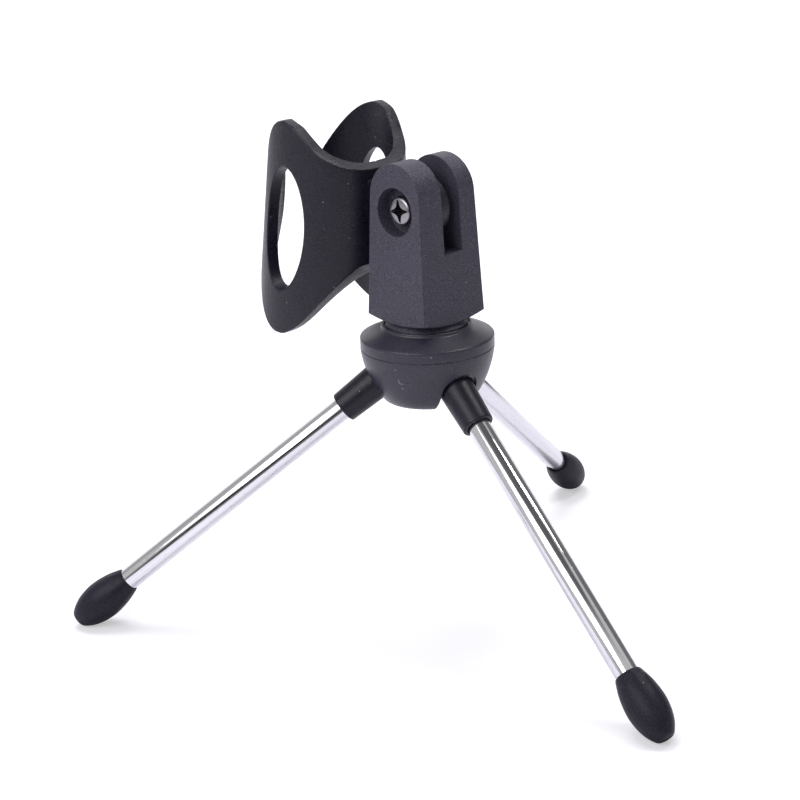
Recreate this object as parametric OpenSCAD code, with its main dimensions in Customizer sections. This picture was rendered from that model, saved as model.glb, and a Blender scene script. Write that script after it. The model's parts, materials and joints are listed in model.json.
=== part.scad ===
// Desktop microphone stand: three folding legs, round hub, tilting fork and slotted clip.
// Millimetres. Origin on the table under the hub's axis, +Z up, pivot screw along X,
// clip towards +Y.

/* [Legs] */
// Angle of a spread leg from the vertical, degrees
leg_spread = 52.7; // [51:0.1:54]
// Turn of the first leg around the hub, degrees
leg_turn = 18.8; // [0:0.1:60]
// Length from the cross pin to the tip of the foot
leg_len = 112.2; // [100:0.1:140]
// Outside diameter of the plated tube
tube_d = 6; // [5:0.1:6.4]
// Wall of the plated tube
tube_wall = 0.8; // [0.5:0.1:1.2]
// Diameter of the leg root at the hub
socket_d = 9.1; // [8.8:0.1:9.3]
// Diameter of the leg root at its mouth
socket_mouth_d = 8.3; // [7.8:0.1:8.6]
// Length from the cross pin to the mouth of the leg root
socket_len = 20; // [18:0.1:24]
// Distance of each cross pin from the hub's axis
pin_r = 6.5; // [6.4:0.1:6.8]
// Diameter of the cross pins
pin_d = 2.5; // [2:0.1:2.8]

/* [Feet] */
// Largest diameter of a foot
foot_d = 10.4; // [9:0.1:10.6]
// Diameter of a foot at its mouth
foot_mouth_d = 7; // [6.8:0.1:8]
// Length of a foot
foot_len = 17.8; // [16:0.1:20]

/* [Hub] */
// Diameter of the hub's rim
hub_d = 34.5; // [34:0.1:37]
// Height of the lower half, base to parting line
bowl_h = 13.9; // [13.5:0.1:14.5]
// Diameter of the flat base
bowl_base_d = 22.4; // [22:0.1:24]
// Height of the straight band above the parting line
band_h = 2.8; // [2.4:0.1:3.4]
// Rise of the sloped top from the rim to the collar
cone_h = 2.4; // [2:0.1:3]
// Outside diameter of the collar ring
collar_d = 23.2; // [22.8:0.1:24]
// Height of the collar ring above the sloped top
collar_h = 0.75; // [0.6:0.05:1]
// Lift of each notch's arch above the leg root
arch_lift = 0.8; // [0.6:0.1:1.1]

/* [Fork] */
// Width of the fork's foot across the two ears
fork_w = 21.3; // [20.5:0.1:22]
// Depth of the fork's foot
fork_t = 20.5; // [20:0.1:21]
// Height of the pivot above the fork's lower corners
pivot_h = 27.8; // [26:0.1:30]
// Width of the slot between the ears
slot_w = 6.15; // [6:0.05:6.4]
// Depth of the slot below the pivot
slot_drop = 11; // [10:0.1:12]
// Diameter of the pivot screw
screw_d = 4; // [3.5:0.1:4.2]
// Diameter of the recess around the screw head
recess_d = 12.2; // [11.5:0.1:12.6]
// Diameter of the screw head
head_d = 7.4; // [7:0.1:8]

/* [Clip] */
// Rest angle of the clip, degrees, positive leans its top over the fork
clip_tilt = 6; // [0:0.5:20]
// Distance from the pivot to the axis of the clip's bore
clip_reach = 32.2; // [31.5:0.1:36]
// Outside radius of the clip at the middle of its height
clip_r = 18.7; // [17.5:0.1:19]
// Wall of the clip
clip_wall = 3.3; // [2.6:0.1:3.6]
// Narrowing of the clip towards its top, degrees a side
clip_cone = 2.6; // [1.5:0.1:3]
// Thickness of the knuckle between the ears
knuckle_t = 3.9; // [3.6:0.1:4.4]
// Radius of the knuckle
knuckle_r = 8; // [7.5:0.1:8.4]

/* [Hidden] */

$fn = 64;
legs = 3;
gap = 0.3;
run_fit = 0.05;
seat = 0.05;
past = 1;

// Foot outline: distance from the tip and radius, as parts of its length and width
foot_shape = [[0, 0.29], [0.02, 0.43], [0.056, 0.558], [0.14, 0.769], [0.21, 0.86],
    [0.281, 0.923], [0.38, 0.978], [0.478, 1], [0.56, 0.99], [0.68, 0.94], [0.8, 0.86]];
// Foot mouth: distance from the tip as a part of the length, and how far it flares
foot_lip = [[0.93, 0.25], [0.98, 0.1], [1, -0.15]];
foot_outline = concat(
    [for (s = foot_shape) [s[1] * foot_d / 2, s[0] * foot_len]],
    [for (s = foot_lip) [foot_mouth_d / 2 + s[1], s[0] * foot_len]]);
foot_low = min([for (p = foot_outline) p[1] * cos(leg_spread) - p[0] * sin(leg_spread)]);
foot_tip_t = 5;
pin_z = leg_len * cos(leg_spread) - foot_low;
tube_start = 8;
tube_end = leg_len - foot_tip_t;
// Leg root mouth: how far below it, and how far in, its rounding goes
mouth_round = [[1.2, 0], [0.5, 0.2], [0, 0.6]];

// Hub heights, counted up from its base
pin_rise = 9.9;
base_z = pin_z - pin_rise;
part_z = base_z + bowl_h;
rim_z = part_z + band_h;
cone_z = rim_z + cone_h;
collar_z = cone_z + collar_h;
collar_wall = 0.55;
collar_in_r = collar_d / 2 - collar_wall;
collar_deep = 0.8;
floor_z = collar_z - collar_deep;
cap_room = 1.2;
cap_under_z = part_z + cap_room;
rim_soft = 0.25;
ring_soft = 0.2;
shell_t = 2;
lip_t = 0.9;
arch_gap = 0.5;
notch_r = socket_d / 2 + arch_gap;
notch_in_gap = 0.2;
notch_in_r = socket_d / 2 + notch_in_gap;
well_gap = 0.8;
well_r = socket_d / 2 + well_gap;
post_r = 1.2;
bowl_power = 1.36;
bowl_steps = 18;
pin_half = 6.3;
keeper_t = 2.4;
keeper_w = pin_half - notch_r - 2 * seat;

// Hub screws
hub_screw_r = 8.7;
hub_screw_d = 2.2;
hub_head_d = 4;
hub_head_t = 1.6;
hub_head_room = 3.4;
hub_screw_bite = 3.9;
hub_screw_top = part_z + hub_screw_bite;
hub_cross = [2.4, 0.5, 0.7];
boss_r = 2.3;

// Stud and insert
stud_d = 9.5;
stud_flats = 13;
stud_head_t = 2.6;
stud_lead = 0.8;
stud_short = 0.4;
insert_d = 14.4;
insert_h = 13;
stud_top = floor_z + gap + insert_h - stud_short;

// Fork
fork_lift = 2.7;
corner_z = collar_z + fork_lift;
pivot_z = corner_z + pivot_h;
ear_rise = 3.3;
taper_x = 0.03;
taper_y = 0.045;
ear_half = fork_t / 2 - taper_y * (pivot_h + ear_rise);
fork_half = fork_w / 2 - taper_x * pivot_h;
slot_x = 1.1;
near_face = slot_x - slot_w / 2;
neck_r = collar_in_r - gap;
neck_z = floor_z + gap;
neck_top_r = fork_t / 2 - seat;
cone_low = 1.25;
cone_slope = 0.3;
fork_corner_r = norm([fork_w, fork_t]) / 2;
fork_top = 20;
fork_extra = 4;
recess_deep = 4.2;
head_t = 2.1;
head_edge = 0.6;
head_soft = 1;
cross = [4.2, 0.9, 1.2];
nut_flats = 7;
nut_t = 3.2;
nut_deep = 3.4;
screw_short = 0.2;

// Clip, in its own frame: pivot at the origin, Y towards the bore, Z along the bore
clip_low = -41;
clip_high = 19;
clip_mid = -11;
lip_half_y = 14.6;
lip_half_z = 28.2;
window_y = 32.4;
window_half_y = 7.1;
window_half_z = 16.5;
lip_gap = 11.2;
side_gap = 0.1;
knuckle_boss_r = 4.2;
web_out = 12.4;
// Flare of the web into the wall: how far sideways, and how far on from web_out
web_flare = [[0, 0], [0.6, 0.5], [1.8, 0.9], [4.5, 1.7], [4.5, 3.6]];
web_top = [[17, 7], [15, 6.7], [12, 6.9], [9, 7.6], [5, 7.4], [0, 6]];
web_low = [[0, -6], [5, -7], [9, -8.6], [11, -12.5], [13.2, -17], [14.6, -18.7], [17, -20]];
top_rim = [[33, 17.1], [32.2, 17.19], [31, 16.8], [29.7, 16.05], [27.8, 14.6], [25.9, 12.8],
    [24.2, 11.1], [22.3, 9.7], [19.5, 8.1], [17, 7.05], [15, 6.7], [12, 6.9]];
low_rim = [[12, -16.6], [13.9, -17.7], [14.6, -18.7], [15.7, -20.2], [16.9, -22.8],
    [19.6, -27.2], [21.6, -30.3], [23.6, -33.2], [25.6, -35.6], [27.5, -37.3], [29.7, -38.6],
    [31.2, -39.05], [32.2, -39.19], [33, -39.1]];

mic_clip();
yoke();
pivot_screw();
pivot_nut();
yoke_insert();
hub_stud();
hub_cap();
hub_bowl();
hub_screws();
leg_pin(0);  // leg_pin_1
leg_pin(1);  // leg_pin_2
leg_pin(2);  // leg_pin_3
leg_socket(0);  // leg_socket_1
leg_socket(1);  // leg_socket_2
leg_socket(2);  // leg_socket_3
leg_tube(0);  // leg_tube_1
leg_tube(1);  // leg_tube_2
leg_tube(2);  // leg_tube_3
foot(0);  // foot_1
foot(1);  // foot_2
foot(2);  // foot_3

// Placing a shape drawn along +Z from the cross pin onto one leg
module on_leg(index) {
    rotate([0, 0, leg_turn + index * 360 / legs])
        translate([pin_r, 0, pin_z])
            rotate([0, 180 - leg_spread, 0])
                children();
}

// Placing a shape in the middle of the web between two legs
module on_web(index) {
    rotate([0, 0, leg_turn + (index + 0.5) * 360 / legs])
        children();
}

module at_pivot() {
    translate([0, 0, pivot_z])
        rotate([clip_tilt, 0, 0])
            children();
}

module rod(r, h) {
    cylinder(r = r, h = h);
}

module across(r, from_x, to_x) {
    translate([from_x, 0, 0])
        rotate([0, 90, 0])
            cylinder(r = r, h = to_x - from_x);
}

module hex(flats, h) {
    rotate([0, 0, 30])
        cylinder(d = flats / cos(30), h = h, $fn = 6);
}

// Hub

function bowl_r(t) = bowl_base_d / 2 + (hub_d - bowl_base_d) / 2 * pow(cos(t), bowl_power);
function bowl_z(t) = part_z - (part_z - base_z) * pow(sin(t), bowl_power);

module bowl_body() {
    rotate_extrude()
        polygon(concat(
            [[0, base_z]],
            [for (i = [bowl_steps:-1:0]) [bowl_r(i * 90 / bowl_steps), bowl_z(i * 90 / bowl_steps)]],
            [[0, part_z]]));
}

module arch(r) {
    linear_extrude(2 * hub_d)
        union() {
            intersection() {
                circle(r = r);
                translate([-2 * r, -2 * r])
                    square([2 * r, 4 * r]);
            }
            translate([0, -r])
                square([hub_d, 2 * r]);
        }
}

module leg_well(index) {
    rotate([0, 0, leg_turn + index * 360 / legs])
        translate([pin_r, 0, base_z - past])
            linear_extrude(cap_under_z + 2 * past - base_z)
                union() {
                    intersection() {
                        circle(r = well_r);
                        translate([-2 * well_r, -2 * well_r])
                            square([2 * well_r, 4 * well_r]);
                    }
                    translate([0, -well_r])
                        square([hub_d, 2 * well_r]);
                }
}

// Room for one leg: snug round the root inside, a lifted arch where it leaves the bowl
module leg_notch(index) {
    intersection() {
        leg_well(index);
        on_leg(index)
            translate([0, 0, -hub_d / 2])
                arch(notch_in_r);
    }
}

module leg_arch(index) {
    intersection() {
        leg_well(index);
        on_leg(index)
            translate([-arch_lift, 0, tube_start])
                arch(notch_r);
    }
}

module pin_groove(index) {
    rotate([0, 0, leg_turn + index * 360 / legs])
        translate([pin_r, 0, pin_z]) {
            rotate([90, 0, 0])
                cylinder(r = pin_d / 2, h = 2 * pin_half, center = true);
            translate([-pin_d / 2, -pin_half, 0])
                cube([pin_d, 2 * pin_half, part_z - pin_z + past]);
        }
}

module hub_bowl() {
    color("#35333b")
    difference() {
        union() {
            bowl_body();
            translate([0, 0, part_z - seat])
                difference() {
                    rod(hub_d / 2 - shell_t - seat, lip_t + seat);
                    translate([0, 0, -past])
                        rod(hub_d / 2 - shell_t - lip_t, lip_t + 2 * past);
                }
            rod_at(post_r, part_z - past, cap_under_z - seat);
        }
        for (i = [0:legs - 1]) {
            leg_notch(i);
            leg_arch(i);
            pin_groove(i);
            on_web(i)
                translate([hub_screw_r, 0, 0]) {
                    rod_at(hub_screw_d / 2 + run_fit, base_z - past, part_z + past);
                    rod_at(hub_head_d / 2 + run_fit, base_z - past, base_z + hub_head_room);
                }
        }
    }
}

module rod_at(r, from_z, to_z) {
    translate([0, 0, from_z])
        rod(r, to_z - from_z);
}

module hub_cap() {
    color("#35333b")
    difference() {
        union() {
            difference() {
                rotate_extrude()
                    polygon([
                        [0, part_z], [hub_d / 2, part_z], [hub_d / 2, rim_z - rim_soft],
                        [hub_d / 2 - rim_soft, rim_z],
                        [collar_d / 2, cone_z], [collar_d / 2, collar_z - ring_soft],
                        [collar_d / 2 - ring_soft, collar_z], [collar_in_r, collar_z],
                        [collar_in_r, floor_z], [0, floor_z]]);
                rod_at(hub_d / 2 - shell_t, part_z - past, cap_under_z);
            }
            for (i = [0:legs - 1])
                on_web(i)
                    translate([hub_screw_r, 0, 0])
                        rod_at(boss_r, part_z, cap_under_z + seat);
            for (i = [0:legs - 1])
                pin_keepers(i);
        }
        rod_at(stud_d / 2 + seat, part_z, collar_z + past);
        translate([0, 0, cap_under_z - past])
            rotate([0, 0, leg_turn])
                hex(stud_flats + 2 * seat, stud_head_t + past);
        for (i = [0:legs - 1])
            on_web(i)
                translate([hub_screw_r, 0, 0])
                    rod_at(hub_screw_d / 2 + seat, part_z - past, hub_screw_top + gap);
    }
}

module pin_keepers(index) {
    rotate([0, 0, leg_turn + index * 360 / legs])
        translate([pin_r - keeper_t / 2, 0, pin_z + pin_d / 2 + seat])
            for (side = [-1, 1])
                translate([0, side * (notch_r + pin_half) / 2 - keeper_w / 2, 0])
                    cube([keeper_t, keeper_w, cap_under_z - pin_z - pin_d / 2]);
}

// Cross recess sunk into a face that looks along -Z: length, width and depth
module cross_recess(size) {
    cube([size[0], size[1], 2 * size[2]], center = true);
    cube([size[1], size[0], 2 * size[2]], center = true);
}

module hub_screws() {
    color("#9a9ca0")
    for (i = [0:legs - 1])
        on_web(i)
            translate([hub_screw_r, 0, 0])
                difference() {
                    union() {
                        rod_at(hub_screw_d / 2, base_z + hub_head_room, hub_screw_top);
                        rod_at(hub_head_d / 2, base_z + hub_head_room - hub_head_t,
                            base_z + hub_head_room);
                    }
                    translate([0, 0, base_z + hub_head_room - hub_head_t])
                        cross_recess(hub_cross);
                }
}

module hub_stud() {
    color("#b9bcc0")
    union() {
        rotate([0, 0, leg_turn])
            translate([0, 0, cap_under_z])
                hex(stud_flats, stud_head_t - seat);
        rod_at(stud_d / 2, cap_under_z + stud_head_t - 2 * seat, stud_top - stud_lead);
        translate([0, 0, stud_top - stud_lead])
            cylinder(r1 = stud_d / 2, r2 = stud_d / 2 - stud_lead, h = stud_lead);
    }
}

// Legs

module leg_pin(index) {
    color("#b9bcc0")
    rotate([0, 0, leg_turn + index * 360 / legs])
        translate([pin_r, 0, pin_z])
            rotate([90, 0, 0])
                cylinder(r = pin_d / 2, h = 2 * pin_half - 2 * seat, center = true);
}

module leg_socket(index) {
    color("#232228")
    on_leg(index)
        difference() {
            union() {
                sphere(r = socket_d / 2);
                rotate_extrude()
                    polygon(concat(
                        [[0, 0], [socket_d / 2, 0], [socket_d / 2, tube_start]],
                        [for (m = mouth_round) [socket_mouth_d / 2 - m[1], socket_len - m[0]]],
                        [[0, socket_len]]));
            }
            rod_at(tube_d / 2 + seat, tube_start, socket_len + past);
            rotate([90, 0, 0])
                cylinder(r = pin_d / 2 + run_fit, h = socket_d + 2 * past, center = true);
        }
}

module leg_tube(index) {
    color("#d8d9dd")
    on_leg(index)
        difference() {
            rod_at(tube_d / 2, tube_start, tube_end);
            rod_at(tube_d / 2 - tube_wall, tube_start - past, tube_end + past);
        }
}

module foot(index) {
    color("#2b2a30")
    on_leg(index)
        difference() {
            translate([0, 0, leg_len])
                rotate([180, 0, 0])
                    rotate_extrude()
                        polygon(concat([[0, 0]], foot_outline, [[0, foot_len]]));
            rod_at(tube_d / 2 + seat, leg_len - foot_len - past, tube_end);
        }
}

// Fork

module fork_side() {
    low_half = fork_t / 2 + taper_y * fork_extra;
    low = -pivot_h - fork_extra;
    union() {
        polygon([[-low_half, low], [low_half, low], [ear_half, ear_rise], [-ear_half, ear_rise]]);
        translate([0, ear_rise])
            intersection() {
                circle(r = ear_half);
                translate([-fork_t, 0])
                    square([2 * fork_t, fork_t]);
            }
    }
}

module fork_front() {
    low_half = fork_w / 2 + taper_x * fork_extra;
    top_half = fork_half - taper_x * fork_top;
    low = -pivot_h - fork_extra;
    polygon([[-low_half, low], [low_half, low], [top_half, fork_top], [-top_half, fork_top]]);
}

// Underside: a shallow cone that leaves the four lower edges sagging between the corners
module fork_underside() {
    rotate_extrude()
        polygon([
            [0, -pivot_h - cone_low - seat], [neck_top_r, -pivot_h - cone_low],
            [fork_w, -pivot_h + cone_slope * (fork_w - fork_corner_r)],
            [fork_w, fork_top], [0, fork_top]]);
}

// Round neck that dips into the collar ring
module fork_neck() {
    rotate_extrude()
        polygon([
            [0, neck_z - pivot_z], [neck_r, neck_z - pivot_z], [neck_r, collar_z - pivot_z],
            [neck_top_r, -pivot_h - cone_low], [neck_top_r, -pivot_h], [0, -pivot_h]]);
}

module yoke() {
    color("#3b3942")
    translate([0, 0, pivot_z])
    difference() {
        union() {
            intersection() {
                rotate([90, 0, 90])
                    linear_extrude(2 * fork_w, center = true)
                        fork_side();
                rotate([90, 0, 0])
                    linear_extrude(2 * fork_t, center = true)
                        fork_front();
                fork_underside();
            }
            fork_neck();
        }
        translate([near_face, -fork_t, -slot_drop])
            cube([slot_w, 2 * fork_t, pivot_h]);
        across(screw_d / 2 + run_fit, -fork_w, fork_w);
        across(recess_d / 2, -fork_w, recess_deep - fork_half);
        translate([fork_half - nut_deep, 0, 0])
            rotate([0, 90, 0])
                hex(nut_flats + 2 * seat, fork_w);
        rod_at(insert_d / 2 + seat, neck_z - pivot_z - past, neck_z - pivot_z + insert_h);
        rod_at(stud_d / 2 + gap, neck_z - pivot_z, stud_top - pivot_z + stud_lead);
    }
}

module pivot_screw() {
    color("#c9cbd0")
    translate([0, 0, pivot_z])
    difference() {
        union() {
            across(screw_d / 2, recess_deep - fork_half - seat, fork_half - screw_short);
            across(head_d / 2, recess_deep - fork_half - head_t + head_edge,
                recess_deep - fork_half);
            translate([recess_deep - fork_half - head_t, 0, 0])
                rotate([0, 90, 0])
                    cylinder(r1 = head_d / 2 - head_soft, r2 = head_d / 2, h = head_edge);
        }
        translate([recess_deep - fork_half - head_t, 0, 0])
            rotate([0, 90, 0])
                cross_recess(cross);
    }
}

module pivot_nut() {
    color("#c9cbd0")
    translate([fork_half - nut_deep, 0, pivot_z])
        rotate([0, 90, 0])
            difference() {
                hex(nut_flats, nut_t);
                rod_at(screw_d / 2 + seat, -past, nut_t + past);
            }
}

module yoke_insert() {
    color("#c8a24a")
    difference() {
        rod_at(insert_d / 2, neck_z, neck_z + insert_h - seat);
        rod_at(stud_d / 2 + run_fit, neck_z - past, neck_z + insert_h + past);
    }
}

// Clip

module clip_shell(extra, cut) {
    translate([0, clip_reach, clip_low - cut])
        cylinder(
            r1 = clip_r + extra - tan(clip_cone) * (clip_low - cut - clip_mid),
            r2 = clip_r + extra - tan(clip_cone) * (clip_high + cut - clip_mid),
            h = clip_high - clip_low + 2 * cut);
}

module along_x(width) {
    rotate([90, 0, 90])
        linear_extrude(width, center = true)
            children();
}

module clip_outline() {
    union() {
        intersection() {
            translate([clip_reach, clip_mid])
                scale([lip_half_y / lip_half_z, 1])
                    circle(r = lip_half_z, $fn = 96);
            translate([clip_reach, clip_mid - 2 * lip_half_z])
                square([2 * lip_half_y, 4 * lip_half_z]);
        }
        polygon(concat(top_rim, low_rim));
    }
}

// The waist's web, narrow between the ears and flared where it meets the bore's wall
module clip_web() {
    left = near_face + side_gap;
    right = near_face + knuckle_t;
    last = len(web_flare) - 1;
    difference() {
        intersection() {
            translate([0, 0, clip_low])
                linear_extrude(clip_high - clip_low)
                    polygon(concat(
                        [[left, 0], [right, 0]],
                        [for (f = web_flare) [right + f[0], web_out + f[1]]],
                        [for (i = [last:-1:0]) [left - web_flare[i][0], web_out + web_flare[i][1]]]));
            along_x(4 * clip_r)
                polygon(concat(web_top, web_low));
        }
        clip_shell(-clip_wall, past);
    }
}

module mic_clip() {
    color("#1d1c20")
    at_pivot()
    difference() {
        union() {
            intersection() {
                difference() {
                    clip_shell(0, 0);
                    clip_shell(-clip_wall, past);
                }
                along_x(4 * clip_r)
                    clip_outline();
            }
            across(knuckle_r, near_face + side_gap, near_face + knuckle_t);
            across(knuckle_boss_r, near_face + 1, near_face + slot_w - side_gap);
            clip_web();
        }
        along_x(4 * clip_r)
            translate([window_y, clip_mid])
                scale([window_half_y / window_half_z, 1])
                    circle(r = window_half_z, $fn = 96);
        translate([-lip_gap / 2, clip_reach, clip_low - past])
            cube([lip_gap, 2 * clip_r, clip_high - clip_low + 2 * past]);
        across(screw_d / 2 + run_fit, -fork_w, fork_w);
    }
}
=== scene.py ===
"""Dresses the desktop microphone stand: clip, fork, round hub, plated legs and rubber feet."""

import json
import math

import bmesh
import bpy
import numpy as np
from mathutils import Matrix, Vector


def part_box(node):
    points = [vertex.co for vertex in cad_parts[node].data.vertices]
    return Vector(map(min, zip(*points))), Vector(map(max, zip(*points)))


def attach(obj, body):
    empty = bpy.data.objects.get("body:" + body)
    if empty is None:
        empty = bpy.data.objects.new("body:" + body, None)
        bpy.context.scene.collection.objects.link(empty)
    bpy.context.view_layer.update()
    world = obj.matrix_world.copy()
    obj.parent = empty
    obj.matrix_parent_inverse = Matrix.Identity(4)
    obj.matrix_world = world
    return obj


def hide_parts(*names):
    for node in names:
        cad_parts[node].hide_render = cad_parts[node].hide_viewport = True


bl_info = {
    "name": "Desktop Microphone Stand",
    "version": (1, 0, 0),
    "blender": (4, 5, 0),
    "location": "View3D > Sidebar > Mic Stand",
    "description": "Builds the dressed desktop microphone stand and its studio",
    "category": "Object",
}

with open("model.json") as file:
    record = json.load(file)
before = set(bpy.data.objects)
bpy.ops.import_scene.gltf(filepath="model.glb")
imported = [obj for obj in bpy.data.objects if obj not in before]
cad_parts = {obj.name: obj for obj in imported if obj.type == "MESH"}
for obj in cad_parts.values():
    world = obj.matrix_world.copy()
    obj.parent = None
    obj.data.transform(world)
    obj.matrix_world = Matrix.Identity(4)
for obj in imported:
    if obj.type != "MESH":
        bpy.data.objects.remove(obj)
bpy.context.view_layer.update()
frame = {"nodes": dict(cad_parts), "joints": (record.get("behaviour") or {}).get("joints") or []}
MM = 0.001
LEGS = 3


def joint(name):
    """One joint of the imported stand, by its name."""
    return next(j for j in frame["joints"] if j["name"] == name)


PIVOT_Z = joint("clip_tilt")["pos_m"][2]
PIN_Z = joint("leg_fold_1")["pos_m"][2]
PIN_R = math.hypot(*joint("leg_fold_1")["pos_m"][:2])
LEG_TURN = math.atan2(joint("leg_fold_1")["pos_m"][1], joint("leg_fold_1")["pos_m"][0])
AT_PIVOT = Matrix.Translation((0, 0, PIVOT_Z)) @ Matrix.Scale(MM, 4)


def length(name, description, default):
    """A size in metres."""
    return bpy.props.FloatProperty(
        name=name, description=description, default=default, unit="LENGTH", precision=5)


def angle(name, description, degrees):
    """An angle, given in degrees and kept in radians."""
    return bpy.props.FloatProperty(
        name=name, description=description, default=math.radians(degrees), unit="ROTATION")


def paint(name, description, default):
    """A linear colour."""
    return bpy.props.FloatVectorProperty(
        name=name, description=description, default=default, size=3, subtype="COLOR",
        min=0.0, max=1.0)


class StandSizes(bpy.types.PropertyGroup):
    """Sizes of the pieces that are drawn here, in metres."""

    clip_radius: length("Clip radius", "Outside radius of the clip at mid height", 18.7 * MM)
    clip_wall: length("Clip wall", "Wall of the clip", 3.3 * MM)
    clip_reach: length("Clip reach", "Pivot to the axis of the bore", 32.2 * MM)
    clip_round: length("Clip edge", "Rounding of the clip's outer edges", 0.5 * MM)
    window_round: length("Window edge", "Rounding of the clip's window edges", 0.35 * MM)
    clip_cone: angle("Clip taper", "Narrowing towards the top, each side", 2.6)
    clip_tilt: angle("Clip tilt", "Lean of the clip's top towards the fork", 6.0)
    fork_round: length("Fork edge", "Rounding of the fork's edges", 0.55 * MM)
    hub_radius: length("Hub radius", "Radius of the hub's rim", 17.25 * MM)
    tube_radius: length("Tube radius", "Radius of the plated tube", 3.0 * MM)
    foot_radius: length("Foot radius", "Largest radius of a foot", 5.2 * MM)
    leg_length: length("Leg length", "Cross pin to the tip of the foot", 112.2 * MM)
    leg_spread: angle("Leg spread", "Angle of a spread leg from the vertical", 52.7)


class StandColours(bpy.types.PropertyGroup):
    """Colours of the finishes."""

    body: paint("Fork plastic", "Charcoal moulding of the fork", (0.053, 0.0485, 0.071))
    hub: paint("Hub plastic", "Charcoal moulding of the hub", (0.034, 0.031, 0.048))
    clip: paint("Clip plastic", "Black moulding of the clip", (0.0098, 0.0083, 0.0172))
    root: paint("Leg root plastic", "Satin black of the leg roots", (0.0125, 0.0115, 0.020))
    rubber: paint("Foot rubber", "Near-black rubber of the feet", (0.0125, 0.0115, 0.021))
    chrome: paint("Plating", "Mirror plating of the legs", (0.86, 0.86, 0.89))
    nickel: paint("Screw plating", "Nickel on the pivot screw", (0.38, 0.36, 0.39))


# ---- finishes

def blank(owner):
    """The emptied node tree of a material or world."""
    owner.use_nodes = True
    owner.node_tree.nodes.clear()
    return owner.node_tree


def new_material(name):
    """A material with one Principled shader on its output."""
    mat = bpy.data.materials.new(name)
    tree = blank(mat)
    out = tree.nodes.new("ShaderNodeOutputMaterial")
    bsdf = tree.nodes.new("ShaderNodeBsdfPrincipled")
    tree.links.new(bsdf.outputs[0], out.inputs[0])
    return mat, tree, bsdf


def node(tree, kind, **values):
    """A node with its sockets set by name and its own settings by attribute."""
    made = tree.nodes.new(kind)
    for key, value in values.items():
        if key in made.inputs:
            made.inputs[key].default_value = value
        else:
            setattr(made, key, value)
    return made


def texture(tree, kind, place, **values):
    """A texture node read at a place."""
    made = node(tree, kind, **values)
    tree.links.new(place, made.inputs["Vector"])
    return made


def noise(tree, place, **values):
    """A noise texture read at a place."""
    return texture(tree, "ShaderNodeTexNoise", place, **values)


def bumped(tree, bsdf, height, strength, depth):
    """Bends the shader's normals by a height, and gives the bump node."""
    made = node(tree, "ShaderNodeBump", Strength=strength, Distance=depth)
    tree.links.new(height, made.inputs["Height"])
    tree.links.new(made.outputs[0], bsdf.inputs["Normal"])
    return made


def cosine(tree, place, direction):
    """The dot product of a place and a direction brought to length one."""
    made = node(tree, "ShaderNodeVectorMath", operation="DOT_PRODUCT")
    tree.links.new(place, made.inputs[0])
    made.inputs[1].default_value = Vector(direction).normalized()
    return made.outputs["Value"]


def ramp(tree, source, low, high, low_at=0.3, high_at=0.7):
    """Maps a noise value between two positions onto two values or colours."""
    made = node(tree, "ShaderNodeMapRange")
    made.inputs["From Min"].default_value = low_at
    made.inputs["From Max"].default_value = high_at
    made.inputs["To Min"].default_value = low
    made.inputs["To Max"].default_value = high
    tree.links.new(source, made.inputs["Value"])
    return made.outputs["Result"]


def calc(tree, operation, a, b):
    """One step of arithmetic between sockets or numbers."""
    made = node(tree, "ShaderNodeMath", operation=operation)
    for value, socket in zip((a, b), made.inputs):
        if isinstance(value, bpy.types.NodeSocket):
            tree.links.new(value, socket)
        else:
            socket.default_value = value
    return made.outputs[0]


def mix(tree, factor, a, b):
    """Blends colour a into colour b by a factor socket."""
    made = tree.nodes.new("ShaderNodeMix")
    made.data_type = "RGBA"
    tree.links.new(factor, made.inputs[0])
    for value, socket in ((a, made.inputs[6]), (b, made.inputs[7])):
        if isinstance(value, bpy.types.NodeSocket):
            tree.links.new(value, socket)
        else:
            socket.default_value = (*value, 1.0)
    return made.outputs[2]


def shade(colour, factor):
    """The colour times a factor, held at 1."""
    return tuple(min(1.0, c * factor) for c in colour)


def by_ray(tree, out_kind, other, glossy, camera):
    """Sends one shader to the camera, one to mirrors and one to all else, to the output."""
    link = tree.links.new
    out = tree.nodes.new(out_kind)
    path = tree.nodes.new("ShaderNodeLightPath")
    chosen = other
    for ray, shader in (("Is Glossy Ray", glossy), ("Is Camera Ray", camera)):
        pick = tree.nodes.new("ShaderNodeMixShader")
        link(path.outputs[ray], pick.inputs[0])
        link(chosen.outputs[0], pick.inputs[1])
        link(shader.outputs[0], pick.inputs[2])
        chosen = pick
    link(chosen.outputs[0], out.inputs[0])


def hairlines(tree, place, scale, width, patchy):
    """Thin curved scratches: where one noise crosses its middle, inside another's patches."""
    lines = noise(tree, place, Scale=scale, Detail=1.0, Distortion=0.6)
    shifted = texture(tree, "ShaderNodeMapping", place, Location=(0.31, 0.17, 0.43))
    patches = noise(tree, shifted.outputs[0], Scale=scale * 0.9, Detail=1.0)
    rise = ramp(tree, lines.outputs[0], 0.0, 1.0, 0.5 - width, 0.5)
    fall = ramp(tree, lines.outputs[0], 1.0, 0.0, 0.5, 0.5 + width)
    here = ramp(tree, patches.outputs[0], 0.0, 1.0, patchy, patchy + 0.06)
    return calc(tree, "MULTIPLY", calc(tree, "MULTIPLY", rise, fall), here)


def within(tree, place, centre, radius, blur):
    """One inside a small ball about a point given in millimetres, zero outside it."""
    away = node(tree, "ShaderNodeVectorMath", operation="DISTANCE")
    tree.links.new(place, away.inputs[0])
    away.inputs[1].default_value = [c * MM for c in centre]
    return ramp(tree, away.outputs["Value"], 1.0, 0.0, (radius - blur) * MM, radius * MM)


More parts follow.
